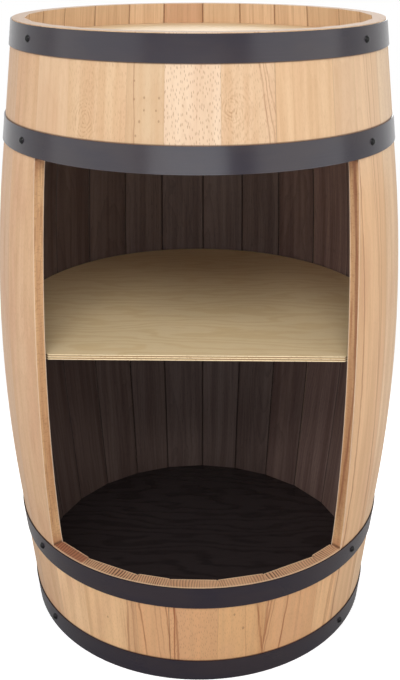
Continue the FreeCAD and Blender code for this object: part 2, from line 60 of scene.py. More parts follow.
# Colours of marks and materials, 8-bit as displayed
DISPLAY_TONES = dict(
    blush=(212, 162, 126), pale_top=(246, 218, 186), ring=(186, 138, 96), pore=(160, 112, 78),
    fleck=(160, 110, 76), red=(164, 92, 52), oval=(178, 128, 88), line=(148, 78, 38), knot=(150, 104, 70),
    joint=(126, 82, 54), hoop_shadow=(92, 50, 34),
    side_light=(225, 180, 132), side_dark=(202, 151, 107), side_thin=(156, 100, 68), side_tick=(160, 108, 66),
    side_pore=(128, 80, 54), side_line=(122, 66, 40), side_end_brown=(160, 100, 72), side_end_shade=(88, 54, 38),
    side_edge_highlight=(246, 218, 188),
    end_patch=(176, 122, 88), end_stripe=(84, 46, 28), end_ray=(140, 90, 60), end_edge_sanding_and_highlight=(240, 206, 168),
    top_rim=(208, 185, 166), top_ring=(176, 142, 118), top_ray=(164, 130, 106),
    rim_streak=(196, 156, 118), rim_thin=(180, 136, 100), rim_pore=(150, 102, 70), rim_joint=(120, 80, 54),
    stain_pore=(34, 26, 24), stain_joint=(34, 25, 22), bare_edge=(248, 222, 196),
    ply_cross=(180, 144, 100), ply_pale=(255, 234, 192), ply_glue=(112, 78, 50), ply_speck=(142, 100, 64),
    black_light=(56, 49, 50), black_dark=(46, 40, 41), black_fine=(32, 27, 28),
    steel_cool=(36, 29, 41), steel_warm=(44, 35, 42), steel_grain=(53, 46, 57), steel_mottle=(26, 23, 28),
    cleat_light=(88, 66, 57), cleat_dark=(62, 46, 40), cleat_fine=(34, 25, 22),
)
TONES = {name: linear(*color) for name, color in DISPLAY_TONES.items()}


class Graph:
    """A material's nodes, built by short calls. A value is a number, a tuple or another node's output."""

    def __init__(self, name):
        self.material = bpy.data.materials.new(name)
        self.material.use_nodes = True
        self.tree = self.material.node_tree
        self.tree.nodes.clear()
        self.out = self.tree.nodes.new("ShaderNodeOutputMaterial")

    def set(self, socket, value):
        if isinstance(value, bpy.types.NodeSocket):
            self.tree.links.new(value, socket)
        elif value is not None:
            socket.default_value = value

    def math(self, operation, first, second=None):
        node = self.tree.nodes.new("ShaderNodeMath")
        node.operation = operation
        self.set(node.inputs[0], first)
        self.set(node.inputs[1], second)
        return node.outputs[0]

    def add(self, first, second):
        return self.math("ADD", first, second)

    def sub(self, first, second):
        return self.math("SUBTRACT", first, second)

    def mul(self, first, second):
        return self.math("MULTIPLY", first, second)

    def size(self, value):
        return self.math("ABSOLUTE", value)

    def length(self, first, second):
        return self.math("SQRT", self.add(self.mul(first, first), self.mul(second, second)))

    def step(self, value, low, high):
        """0 below low, 1 above high, smooth between; falls instead of rising where high is below low."""
        node = self.tree.nodes.new("ShaderNodeMapRange")
        node.interpolation_type = "SMOOTHSTEP"
        self.set(node.inputs["Value"], value)
        first, last = (low, high) if low < high else (high, low)
        ends = (0.0, 1.0) if low < high else (1.0, 0.0)
        node.inputs["From Min"].default_value = first
        node.inputs["From Max"].default_value = last
        node.inputs["To Min"].default_value, node.inputs["To Max"].default_value = ends
        return node.outputs["Result"]

    def vector(self, operation, first, second):
        node = self.tree.nodes.new("ShaderNodeVectorMath")
        node.operation = operation
        self.set(node.inputs[0], first)
        self.set(node.inputs[1], second)
        return node.outputs["Vector"]

    def join(self, x, y, z):
        node = self.tree.nodes.new("ShaderNodeCombineXYZ")
        for socket, value in zip(node.inputs, (x, y, z)):
            self.set(socket, value)
        return node.outputs[0]

    def split(self, vector):
        node = self.tree.nodes.new("ShaderNodeSeparateXYZ")
        self.set(node.inputs[0], vector)
        return node.outputs

    def turn(self, vector, angle):
        node = self.tree.nodes.new("ShaderNodeVectorRotate")
        node.rotation_type = "Z_AXIS"
        self.set(node.inputs["Vector"], vector)
        node.inputs["Angle"].default_value = angle
        return node.outputs[0]

    def noise(self, vector, stretch, detail=2.0, rough=0.5):
        """Noise with its own number of cycles per millimetre along each axis."""
        node = self.tree.nodes.new("ShaderNodeTexNoise")
        self.set(node.inputs["Vector"], self.vector("MULTIPLY", vector, stretch))
        node.inputs["Scale"].default_value = 1.0
        node.inputs["Detail"].default_value = detail
        node.inputs["Roughness"].default_value = rough
        return node.outputs["Fac"]

    def scatter(self, vector, stretch):
        """Distance to the nearest of scattered points, one in each cell of a flat, stretched grid."""
        node = self.tree.nodes.new("ShaderNodeTexVoronoi")
        node.voronoi_dimensions = "2D"
        self.set(node.inputs["Vector"], self.vector("MULTIPLY", vector, stretch))
        node.inputs["Scale"].default_value = 1.0
        return node.outputs["Distance"]

    def mix(self, amount, first, second):
        node = self.tree.nodes.new("ShaderNodeMix")
        node.data_type = "RGBA"
        self.set(node.inputs["Factor"], amount)
        self.set(node.inputs[6], first)
        self.set(node.inputs[7], second)
        return node.outputs[2]

    def place(self):
        """Position in millimetres from the barrel's axis at the floor, and the face's own normal."""
        node = self.tree.nodes.new("ShaderNodeNewGeometry")
        moved = self.vector("SUBTRACT", node.outputs["Position"], (0.0, AXIS_Y / 1000, 0.0))
        scaled = self.vector("MULTIPLY", moved, (1000.0, 1000.0, 1000.0))
        return scaled, node.outputs["True Normal"]

    def finish(self, color, roughness, height, strength, distance, metallic=0.0, specular=0.5):
        shader = self.tree.nodes.new("ShaderNodeBsdfPrincipled")
        self.set(shader.inputs["Base Color"], color)
        self.set(shader.inputs["Roughness"], roughness)
        self.set(shader.inputs["Metallic"], metallic)
        self.set(shader.inputs["Specular IOR Level"], specular)
        bump = self.tree.nodes.new("ShaderNodeBump")
        bump.inputs["Strength"].default_value = strength
        bump.inputs["Distance"].default_value = distance
        self.set(bump.inputs["Height"], height)
        self.set(shader.inputs["Normal"], bump.outputs["Normal"])
        self.tree.links.new(shader.outputs[0], self.out.inputs["Surface"])
        return self.material


def give(node, material):
    """Put one material on a CAD node."""
    mesh = nodes[node].data
    mesh.materials.clear()
    mesh.materials.append(material)
    for face in mesh.polygons:
        face.material_index = 0


# Looks of a stave, in millimetres: across from its middle, up from the floor, depth below zero inside.
# knots: (across, up, radius)
# lines: (across, up, across, up, width, strength), from the top to the foot
# side_lines: the same with depth in place of across
# ovals: (across, up, flatness, spacing, reach, strength)
# joints: strengths of the left and the right one
# pith: (across, depth), which leans (across, inwards) for each millimetre up from the base
# ends: (place of the pith, ring spacing)
# bare_edge: the side, -1 or 1, on which the inner edge shows bare wood
PLAIN = dict(
    light=(231, 195, 156), dark=(205, 160, 117), streaks=0.5, rings=0.25, spacing=4.2, pith=(0.0, -70.0),
    lean=(0.02, 0.06), flecks=0.2, red=0.12, joints=(0.25, 0.25), knots=(), lines=(), ovals=(),
    ends=(110.0, 2.8), stripes=0.8, sawn=(214, 168, 130), inner=(118, 99, 92), rim=(228, 194, 157),
    rim_joints=0.45, bare_edge=None, base=720.0, blush=0.3, pale_top=0.0, side_lines=(),
)


class Wood:
    """A stave's own coordinates, which face is shaded, and the grain that all its faces share."""

    def __init__(self, g, azimuth, rng, look):
        turn = math.radians(90.0 - azimuth)
        position, normal = g.place()
        self.u, self.v, self.z = g.split(g.turn(position, turn))
        nu, self.nv, nz = g.split(g.turn(normal, turn))
        # The outside is bent over its middle and straight beyond; depth and rise are measured from it
        from_mid = g.size(g.sub(self.z, MID_HEIGHT))
        bent = g.math("MINIMUM", from_mid, BEND_HALF)
        straight = g.math("MAXIMUM", g.sub(from_mid, BEND_HALF), 0.0)
        drop = g.add(g.mul(bent, bent), g.mul(straight, 2 * BEND_HALF))
        surface = g.sub(BELLY_RADIUS, g.mul(drop, BEND_DROP))
        self.depth = g.sub(self.u, surface)
        self.rise = g.sub(g.length(self.u, self.v), surface)
        offset = tuple(rng.uniform(0, 900) for _ in range(3))
        self.place = g.vector("ADD", g.join(self.v, self.depth, self.z), offset)

        across = g.size(self.nv)
        self.outside = g.step(nu, 0.3, 0.6)
        self.inside = g.step(nu, -0.25, -0.5)
        self.end = g.step(g.size(nz), 0.6, 0.85)
        self.eased = g.mul(self.inside, g.step(across, 0.4, 0.6))
        self.side = g.mul(g.step(across, 0.75, 0.9), g.sub(1.0, self.inside))

        # Growth rings round a pith line that leans a little along the stave
        swirl = g.noise(self.place, (0.02, 0.02, 0.006))
        ripple = g.noise(self.place, (0.12, 0.12, 0.03))
        along = g.sub(self.z, look["base"] + rng.uniform(-25, 25))
        ring_v = g.add(g.sub(self.v, look["pith"][0]), g.mul(along, look["lean"][0]))
        ring_d = g.add(g.sub(self.depth, look["pith"][1]), g.mul(along, look["lean"][1]))
        reach = g.add(g.length(ring_v, ring_d), g.add(g.mul(swirl, 22.0), g.mul(ripple, 3.0)))
        phase = g.math("FRACT", g.mul(reach, 1.0 / look["spacing"]))
        self.late = g.mul(g.math("POWER", phase, 3.0), g.step(phase, 1.0, 0.93))

        # Flecks, pores, short dashes and long streaks along the grain
        leaning = g.join(g.add(self.v, g.mul(self.z, FLECK_LEAN)), self.z, 0.0)
        self.fleck = g.step(g.scatter(g.vector("ADD", leaning, offset), (0.5, 0.1, 0.0)), 0.24, 0.08)
        self.pores = g.step(g.noise(self.place, (1.5, 1.5, 0.1), 2.0, 0.6), 0.54, 0.72)
        self.dash = g.noise(self.place, (0.8, 0.8, 0.09), 1.0)
        self.streak = g.noise(self.place, (0.1, 0.1, 0.0035), 3.0, 0.55)
        self.thin = g.noise(self.place, (0.33, 0.33, 0.006), 2.0, 0.6)
        self.wobble = g.sub(g.noise(self.place, (0.05, 0.05, 0.03)), 0.5)
        self.cloud = g.noise(self.place, (0.025, 0.025, 0.008), 3.0)


def outside_color(g, wood, look, width):
    """Planed and oiled outside."""
    streaks = g.mul(g.step(wood.streak, 0.32, 0.72), look["streaks"])
    color = g.mix(streaks, linear(*look["light"]), linear(*look["dark"]))
    color = g.mix(g.mul(g.step(wood.cloud, 0.45, 0.7), look["blush"]), color, TONES["blush"])
    color = g.mix(g.mul(g.step(wood.z, PALE_FOOT, PALE_FULL), look["pale_top"]), color, TONES["pale_top"])
    color = g.mix(g.mul(wood.late, look["rings"]), color, TONES["ring"])
    color = g.mix(g.mul(wood.pores, 0.12), color, TONES["pore"])
    color = g.mix(g.mul(wood.fleck, look["flecks"]), color, TONES["fleck"])
    red = g.mul(g.step(wood.thin, 0.58, 0.72), g.step(wood.streak, 0.46, 0.62))
    color = g.mix(g.mul(red, look["red"]), color, TONES["red"])

    for across, up, flat, spacing, reach, strength in look["ovals"]:
        gap = g.length(g.sub(wood.v, across), g.mul(g.sub(wood.z, up), flat))
        ring = g.math("FRACT", g.mul(g.add(gap, g.mul(wood.wobble, 14.0)), 1.0 / spacing))
        mark = g.mul(g.step(ring, 0.35, 0.7), g.step(ring, 1.0, 0.8))
        mark = g.mul(g.mul(mark, g.step(wood.dash, 0.42, 0.58)), g.step(gap, reach, reach * 0.3))
        color = g.mix(g.mul(mark, strength), color, TONES["oval"])
    for top_across, top_up, low_across, low_up, wide, strength in look["lines"]:
        slope = (top_across - low_across) / (top_up - low_up)
        centre = g.add(g.mul(g.sub(wood.z, low_up), slope), low_across)
        gap = g.size(g.sub(g.add(wood.v, g.mul(wood.wobble, 5.0)), centre))
        mark = g.mul(g.step(gap, wide, wide * 0.2), g.add(g.mul(g.step(wood.thin, 0.3, 0.6), 0.5), 0.5))
        color = g.mix(g.mul(mark, strength), color, TONES["line"])
    for across, up, radius in look["knots"]:
        gap = g.length(g.sub(wood.v, across), g.mul(g.sub(wood.z, up), 0.7))
        color = g.mix(g.mul(g.step(gap, radius, radius * 0.35), 0.55), color, TONES["knot"])

    angle = g.math("ARCTAN2", wood.v, wood.u)
    half = math.radians(width / 2)
    joint = None
    for way, strength in zip((1.0, -1.0), look["joints"]):
        gap = g.mul(g.add(g.mul(angle, way), half), wood.u)
        mark = g.mul(g.step(gap, 0.9, 0.15), strength)
        joint = mark if joint is None else g.add(joint, mark)
    color = g.mix(joint, color, TONES["joint"])
    for height, way in HOOP_EDGES:
        gap = g.mul(g.sub(wood.z, height), float(way))
        near = g.mul(g.step(gap, 1.8, 0.5), g.step(gap, -0.5, 0.0))
        color = g.mix(g.mul(near, 0.7), color, TONES["hoop_shadow"])
    return color, joint


def side_color(g, wood, look):
    """Sides of the opening: open grain with ticks across it, a painted highlight along each edge, and at each
    end, under the hoop, a browner band and a painted shade line.
    """
    color = g.mix(g.step(wood.streak, 0.35, 0.65), TONES["side_light"], TONES["side_dark"])
    color = g.mix(g.mul(g.step(wood.thin, 0.5, 0.68), 0.5), color, TONES["side_thin"])
    ticks = g.noise(wood.place, (0.2, 0.2, 0.6), 1.0)
    color = g.mix(g.mul(g.step(ticks, 0.55, 0.68), 0.3), color, TONES["side_tick"])
    color = g.mix(g.mul(wood.pores, 0.25), color, TONES["side_pore"])
    for top_depth, top_up, low_depth, low_up, wide, strength in look["side_lines"]:
        slope = (top_depth - low_depth) / (top_up - low_up)
        centre = g.add(g.mul(g.sub(wood.z, low_up), slope), low_depth)
        gap = g.size(g.sub(g.add(wood.depth, g.mul(wood.wobble, 3.0)), centre))
        above_foot = g.step(wood.z, low_up - LINE_FADE, low_up + LINE_FADE)
        below_top = g.step(wood.z, top_up + LINE_FADE, top_up - LINE_FADE)
        mark = g.mul(g.step(gap, wide, wide * 0.2), g.mul(above_foot, below_top))
        color = g.mix(g.mul(mark, strength), color, TONES["side_line"])
    # Towards each end of the side, where it meets the hoop and the stub: browner over the last 20 mm, and a
    # painted shade line in the last 5 mm
    for level, way in ((OPENING_LOW, 1.0), (OPENING_HIGH, -1.0)):
        gap = g.mul(g.sub(wood.z, level), way)
        color = g.mix(g.mul(g.step(gap, 20.0, 5.0), 0.4), color, TONES["side_end_brown"])
        color = g.mix(g.mul(g.step(gap, 5.0, 2.0), 0.75), color, TONES["side_end_shade"])
    # Pale lines along the outer and inner edges of the side: a painted highlight in place of the eased edges
    outer = g.step(wood.rise, -1.8, -0.7)
    inner = g.step(wood.depth, SIDE_INNER, SIDE_INNER - 0.8)
    return g.mix(g.mul(g.math("MAXIMUM", outer, inner), 0.7), color, TONES["side_edge_highlight"])


def end_color(g, wood, look):
    """End grain: rings across the wall and fine rays, paler and sanded on the rim."""
    far, spacing = look["ends"]
    waver = g.noise(wood.place, (0.035, 0.03, 0.03), 1.0)
    reach = g.length(g.sub(wood.v, far), g.add(wood.depth, g.mul(wood.wobble, 4.0)))
    ring = g.math("FRACT", g.mul(g.add(reach, g.mul(waver, 9.0)), 1.0 / spacing))
    rings = g.mul(g.step(ring, 0.3, 0.75), g.step(ring, 1.0, 0.85))
    rays = g.step(g.noise(wood.place, (0.12, 1.2, 1.0), 2.0, 0.6), 0.5, 0.7)
    patch = g.noise(wood.place, (0.05, 0.02, 0.05), 2.0)
    stripes = g.mul(rings, g.mul(g.add(g.mul(g.step(patch, 0.36, 0.6), 0.5), 0.5), look["stripes"]))
    sawn = g.mix(g.mul(g.step(patch, 0.5, 0.75), 0.3), linear(*look["sawn"]), TONES["end_patch"])
    sawn = g.mix(stripes, sawn, TONES["end_stripe"])
    sawn = g.mix(g.mul(rays, 0.25), sawn, TONES["end_ray"])
    # Pale outer and inner edges of the sawn end: sanded wood, with a painted highlight of the eased edges
    outer = g.step(wood.rise, -3.0, -1.8)
    inner = g.step(wood.u, SAWN_INNER + 1.6, SAWN_INNER + 0.8)
    sawn = g.mix(g.mul(g.math("MAXIMUM", outer, inner), 0.6), sawn, TONES["end_edge_sanding_and_highlight"])
    rim = g.mix(g.mul(rings, 0.25), TONES["top_rim"], TONES["top_ring"])
    rim = g.mix(g.mul(rays, 0.2), rim, TONES["top_ray"])
    return g.mix(g.step(wood.z, RIM_FOOT, RIM_FOOT + 8.0), sawn, rim)


def inner_color(g, wood, look):
    """Inside: bare wood above the top head, dark stain below it."""
    rim = g.mix(g.mul(g.step(wood.streak, 0.35, 0.7), 0.4), linear(*look["rim"]), TONES["rim_streak"])
    rim = g.mix(g.mul(g.step(wood.thin, 0.5, 0.7), 0.35), rim, TONES["rim_thin"])
    rim = g.mix(g.mul(wood.pores, 0.15), rim, TONES["rim_pore"])
    rim = g.mix(g.mul(wood.eased, look["rim_joints"]), rim, TONES["rim_joint"])
    red, green, blue = look["inner"]
    darker = linear(red * 0.8, green * 0.76, blue * 0.76)
    stain = g.mix(g.step(wood.streak, 0.3, 0.7), linear(red, green, blue), darker)
    stain = g.mix(g.mul(wood.late, 0.4), stain, linear(red * 0.6, green * 0.56, blue * 0.56))
    stain = g.mix(g.mul(wood.pores, 0.4), stain, TONES["stain_pore"])
    stain = g.mix(g.mul(wood.eased, 0.6), stain, TONES["stain_joint"])
    color = g.mix(g.step(wood.z, STAIN_TOP, STAIN_TOP + 4.0), stain, rim)
    if look["bare_edge"]:
        bare = g.mul(wood.eased, g.step(g.mul(wood.nv, look["bare_edge"]), 0.3, 0.5))
        color = g.mix(bare, color, TONES["bare_edge"])
    return color


def stave_material(name, azimuth, width, seed, **changes):
    look = {**PLAIN, **changes}
    g = Graph(name)
    wood = Wood(g, azimuth, random.Random(seed), look)
    color, joint = outside_color(g, wood, look, width)
    color = g.mix(wood.side, color, side_color(g, wood, look))
    color = g.mix(wood.end, color, end_color(g, wood, look))
    color = g.mix(wood.inside, color, inner_color(g, wood, look))
    grooves = g.mul(g.mul(joint, wood.outside), 2.5)
    height = g.sub(g.mul(wood.late, 0.35), g.add(g.mul(wood.pores, 0.5), grooves))
    roughness = g.add(0.46, g.add(g.mul(wood.streak, 0.12), g.mul(wood.end, 0.2)))
    return g.finish(color, roughness, height, strength=0.35, distance=0.0004, specular=0.35)


def spread(first, arc, shares):
    """Middle and width of each stave along an arc, in degrees from the front."""
    staves = []
    edge = first
    for share in shares:
        width = arc * share / sum(shares)
        staves.append((edge + width / 2, width))
        edge += width
    return staves


PIN_KNOTS = (
    (-12, 731, 1.4), (-1, 733, 1.4), (15, 733, 1.4), (-1, 720, 1.3), (12, 720, 1.3), (-6, 708, 1.7),
    (15, 709, 1.4), (-10, 693, 1.4), (-12, 750, 1.2),
)
UPPER = {
    1: dict(light=(228, 192, 155), flecks=0.06, rings=0.1, joints=(0.05, 0.05)),
    2: dict(
        light=(227, 192, 153), flecks=0.25, rings=0.1, joints=(0.05, 0.15),
        ovals=((-13, 706, 0.7, 3.2, 24, 0.45), (-8, 742, 0.7, 3.6, 16, 0.25)),
    ),
    3: dict(
        light=(220, 188, 151), flecks=0.1, rings=0.1, joints=(0.15, 0.1), knots=PIN_KNOTS,
        lines=((-12, 768, -12, 684, 1.1, 0.6),),
    ),
    4: dict(light=(238, 209, 179), dark=(226, 192, 158), flecks=0.6, rings=0.1, joints=(0.1, 0.15)),
    5: dict(
        light=(230, 195, 158), flecks=0.3, rings=0.15, joints=(0.15, 0.45),
        ovals=((-19, 722, 0.85, 2.9, 15, 0.6), (-14, 716, 0.6, 3.6, 30, 0.3)),
        lines=((12, 766, 24, 685, 1.4, 0.5), (16, 766, 27, 700, 1.1, 0.4), (20, 760, 30, 715, 1.1, 0.35)),
    ),
    6: dict(light=(232, 194, 153), flecks=0.1, rings=0.12, joints=(0.3, 0.15)),
    7: dict(light=(231, 197, 160), flecks=0.08, rings=0.15, joints=(0.25, 0.05)),
}
LOWER = {
    # Lower staves 1 and 7, at the two ends of the lower band, are painted lighter to make up for the weaker
    # light there: painted light
    1: dict(
        light=(250, 207, 161), rings=0.05, joints=(0.05, 0.05), ends=(-60.0, 4.2), stripes=0.9,
        sawn=(176, 118, 88),
    ),
    2: dict(
        light=(244, 199, 150), rings=0.06, red=0.3, joints=(0.05, 0.2), ends=(150.0, 3.6), stripes=1.0,
        knots=((-4, 77, 1.6),),
        lines=((26, 104, 23, 34, 2.0, 0.5), (33, 106, 31, 34, 1.2, 0.35), (35, 112, 33, 28, 13.0, 0.4)),
    ),
    3: dict(
        light=(228, 175, 128), rings=0.1, red=0.4, joints=(0.2, 0.6), ends=(-120.0, 3.0), stripes=0.9,
        lines=(
            (-15, 106, -11, 46, 1.6, 0.65), (4, 108, 7, 34, 1.3, 0.35), (18, 107, 21, 40, 1.4, 0.7),
            (10, 106, 14, 40, 1.0, 0.3),
        ),
    ),
    4: dict(
        light=(226, 172, 124), rings=0.1, flecks=0.45, red=0.3, joints=(0.7, 0.15), ends=(90.0, 3.2),
        stripes=0.5,
        lines=((-24, 112, -24, 26, 1.4, 0.85), (-22, 92, -19, 34, 2.4, 0.6)),
    ),
    5: dict(
        light=(229, 178, 126), rings=0.1, flecks=0.25, red=0.3, ends=(-140.0, 3.3), stripes=0.5,
        knots=((-10, 102, 1.8), (2, 79, 2.2)),
        lines=((4, 112, 6, 60, 1.0, 0.3), (19, 112, 28, 40, 1.8, 0.6), (22, 112, 27, 40, 8.0, 0.3)),
    ),
    6: dict(
        light=(229, 175, 126), rings=0.12, red=0.35, joints=(0.25, 0.1), ends=(130.0, 3.7), stripes=1.0,
        lines=(
            (-36, 112, -37, 30, 2.0, 0.65), (-31, 114, -36, 60, 1.8, 0.6), (-27, 113, -31, 70, 1.2, 0.4),
            (-8, 113, -14, 41, 1.6, 0.7),
        ),
    ),
    7: dict(
        light=(243, 194, 144), rings=0.12, red=0.3, ends=(60.0, 3.6), stripes=0.9,
        lines=((9, 104, 6, 40, 4.0, 0.4), (13, 106, 10, 50, 1.4, 0.4)),
    ),
}
front = spread(-OPENING / 2, OPENING, FRONT_SHARES)
rear = spread(OPENING / 2, 360.0 - OPENING, REAR_SHARES)
for number, (azimuth, width) in enumerate(front, start=1):
    name = f"upper_front_stave_{number}"
    give(name, stave_material(name, azimuth, width, 100 + number, **UPPER[number]))
    name = f"lower_front_stave_{number}"
    give(name, stave_material(name, azimuth, width, 200 + number, base=90.0, **LOWER[number]))

REAR = {
    1: dict(
        light=(234, 190, 146), pale_top=0.4, bare_edge=-1.0, joints=(0.05, 0.2),
        side_lines=(
            (-8, 655, -6, 400, 3.0, 0.6), (-4, 410, -13, 190, 2.2, 0.5), (-3, 400, -3, 250, 1.6, 0.4),
            (-9, 655, -9, 160, 9.0, 0.3),
        ),
        lines=(
            (-2, 763, 1, 687, 1.8, 0.35), (-8, 763, -4, 687, 1.2, 0.25), (12, 640, 17, 300, 1.5, 0.3),
            (-26, 320, -24.5, 165, 2.0, 0.55),
        ),
    ),
    2: dict(light=(243, 206, 166), pale_top=0.6, joints=(0.2, 0.2), lines=()),
    # Rear staves 4 to 7 make the wall inside on the right; their stain is painted lighter where that wall is
    # lit: painted light
    4: dict(inner=(150, 124, 115)),
    5: dict(inner=(166, 138, 128)),
    6: dict(inner=(158, 131, 122)),
    7: dict(inner=(136, 112, 104)),
    10: dict(rim=(214, 172, 138), rim_joints=0.6),
    17: dict(light=(219, 183, 150), joints=(0.2, 0.15), lines=(), blush=0.6),
    18: dict(light=(226, 185, 146), bare_edge=1.0, joints=(0.15, 0.05), lines=(), blush=0.5),
}
draws = random.Random(7)
for number, (azimuth, width) in enumerate(rear, start=1):
    name = f"rear_stave_{number:02d}"
    shade = draws.uniform(0.93, 1.03)
    warm = draws.uniform(-7, 5)
    lines = []
    for _ in range(draws.randint(0, 3)):
        across = draws.uniform(-20, 20)
        top = draws.uniform(480, 790)
        foot = draws.uniform(10, 330)
        low_across = across + draws.uniform(-7, 7)
        wide = draws.uniform(0.9, 2.0)
        lines.append((across, top, low_across, foot, wide, draws.uniform(0.2, 0.5)))
    looks = dict(
        light=(230 * shade, (193 + warm * 0.4) * shade, (153 + warm) * shade),
        flecks=draws.uniform(0.06, 0.35),
        rings=draws.uniform(0.05, 0.2),
        red=draws.uniform(0.05, 0.35),
        pith=(draws.uniform(-30, 30), draws.uniform(-90, -25)),
        lean=(draws.uniform(-0.05, 0.05), draws.uniform(0.02, 0.08)),
        rim=(228 + warm, 194 + warm, 157 + warm),
        ends=(draws.uniform(60, 150) * draws.choice((-1, 1)), draws.uniform(2.4, 3.2)),
        joints=(draws.uniform(0.2, 0.5), draws.uniform(0.2, 0.5)),
        lines=tuple(lines),
    )
    looks.update(REAR.get(number, {}))
    give(name, stave_material(name, azimuth, width, 300 + number, **looks))


def plywood_material(name, under, thick, light, stained=False):
    """Birch plywood with quiet face grain and layered edges; stained is nearly black and lacquered on top."""
    g = Graph(name)
    position, normal = g.place()
    _, y, z = g.split(position)
    _, _, nz = g.split(normal)
    warp = g.noise(position, (0.004, 0.016, 0.016), 3.0)
    rings = g.math("SINE", g.mul(g.add(g.mul(y, 0.05), g.mul(warp, 9.0)), 6.0))
    fine = g.noise(position, (0.05, 1.4, 1.4), 2.0, 0.6)
    cloud = g.noise(position, (0.008, 0.02, 0.02), 3.0)
    red, green, blue = light
    darker = linear(red * 0.97, green * 0.95, blue * 0.91)
    face = g.mix(g.step(rings, -0.2, 1.0), linear(red, green, blue), darker)
    pore = linear(red * 0.82, green * 0.74, blue * 0.66)
    patch = linear(red * 0.95, green * 0.91, blue * 0.86)
    face = g.mix(g.mul(g.step(fine, 0.55, 0.72), 0.35), face, pore)
    face = g.mix(g.mul(cloud, 0.35), face, patch)
    ply = g.math("FRACT", g.add(g.mul(g.sub(z, under), PLIES / 2 / thick), 0.5))
    layer = g.mix(g.step(ply, 0.45, 0.55), TONES["ply_cross"], TONES["ply_pale"])
    glue = g.step(g.size(g.sub(ply, 0.5)), 0.2, 0.06)
    speck = g.noise(position, (0.35, 0.35, 1.2), 2.0, 0.6)
    layer = g.mix(g.mul(glue, 0.75), layer, TONES["ply_glue"])
    layer = g.mix(g.mul(g.step(speck, 0.56, 0.7), 0.5), layer, TONES["ply_speck"])
    color = g.mix(g.step(g.size(nz), 0.6, 0.9), layer, face)
    roughness = g.add(0.42, g.mul(cloud, 0.14))
    if stained:
        dark = g.mix(g.step(rings, -0.2, 1.0), TONES["black_light"], TONES["black_dark"])
        dark = g.mix(g.mul(g.step(fine, 0.5, 0.7), 0.5), dark, TONES["black_fine"])
        color = g.mix(g.step(nz, 0.3, 0.6), color, dark)
        roughness = g.add(0.2, g.mul(cloud, 0.1))
    height = g.add(g.mul(fine, 0.5), g.mul(rings, 0.08))
    return g.finish(color, roughness, height, strength=0.18, distance=0.0003, specular=0.4)


PALE_BIRCH = (237, 212, 175)
# The shelf's birch is painted lighter than the heads' to make up for the shade inside the barrel: painted
# light
SHELF_BIRCH_PAINTED_LIGHTER = (252, 228, 184)
give("top_head", plywood_material("top_head", HEAD_TOP - HEAD_THICK, HEAD_THICK, PALE_BIRCH))
bottom_under = BOTTOM_HEAD_TOP - HEAD_THICK
give("bottom_head", plywood_material("bottom_head", bottom_under, HEAD_THICK, PALE_BIRCH, stained=True))
give("shelf", plywood_material("shelf", SHELF_UNDER, SHELF_THICK, SHELF_BIRCH_PAINTED_LIGHTER))


def hoop_material(name):
    """Graphite coated strip steel: satin, with a rolled grain round the hoop and rubs."""
    g = Graph(name)
    position, _ = g.place()
    x, y, z = g.split(position)
    rolled = g.join(g.math("ARCTAN2", x, y), z, 0.0)
    grain = g.noise(rolled, (3.0, 1.3, 1.0), 3.0, 0.6)
    cloud = g.noise(position, (0.012, 0.012, 0.03), 3.0, 0.55)
    mottle = g.noise(position, (0.5, 0.5, 0.5), 2.0, 0.6)
    color = g.mix(g.step(cloud, 0.35, 0.65), TONES["steel_cool"], TONES["steel_warm"])
    color = g.mix(g.mul(g.step(grain, 0.5, 0.75), 0.25), color, TONES["steel_grain"])
    color = g.mix(g.mul(g.step(mottle, 0.55, 0.75), 0.2), color, TONES["steel_mottle"])
    roughness = g.add(0.16, g.add(g.mul(cloud, 0.08), g.mul(grain, 0.05)))
    height = g.add(g.mul(mottle, 0.6), g.mul(grain, 0.4))
    return g.finish(color, roughness, height, strength=0.06, distance=0.0002, specular=0.43)


steel = hoop_material("hoop_steel")
for name in ("top_end_hoop", "upper_quarter_hoop", "lower_quarter_hoop", "bottom_end_hoop", "hoop_rivets"):
    give(name, steel)


def screw_material(name, color, metallic, rough, specular=0.5):
    g = Graph(name)
    position, _ = g.place()
    wear = g.noise(position, (0.8, 0.8, 0.8), 3.0, 0.6)
    worn = tuple(min(255, part * 1.35 + 8) for part in color)
    tint = g.mix(g.step(wear, 0.45, 0.75), linear(*color), linear(*worn))
    roughness = g.add(rough, g.mul(wear, 0.15))
    return g.finish(tint, roughness, wear, 0.08, 0.0002, metallic=metallic, specular=specular)


give("hoop_screws", screw_material("black_screw", (9, 9, 10), 0.0, 0.1, 0.2))
zinc = screw_material("steel_screw", (168, 164, 150), 0.9, 0.3)
give("cleat_screws", zinc)
give("shelf_screws", zinc)


def cleat_material(name):
    g = Graph(name)
    position, _ = g.place()
    streak = g.noise(position, (0.05, 0.05, 0.5), 3.0, 0.6)
    fine = g.noise(position, (0.2, 0.2, 1.6), 2.0, 0.6)
    color = g.mix(g.step(streak, 0.35, 0.65), TONES["cleat_light"], TONES["cleat_dark"])
    color = g.mix(g.mul(g.step(fine, 0.5, 0.7), 0.5), color, TONES["cleat_fine"])
    return g.finish(color, 0.5, fine, strength=0.2, distance=0.0003, specular=0.4)


cleat = cleat_material("cleat_wood")
for number in range(1, 5):
    give(f"shelf_cleat_{number}", cleat)


FLOOR_NEAR, FLOOR_FAR = 330.0, 900.0
FLOOR_LIFT = 0.55
SOFT_LIGHT = 0.34


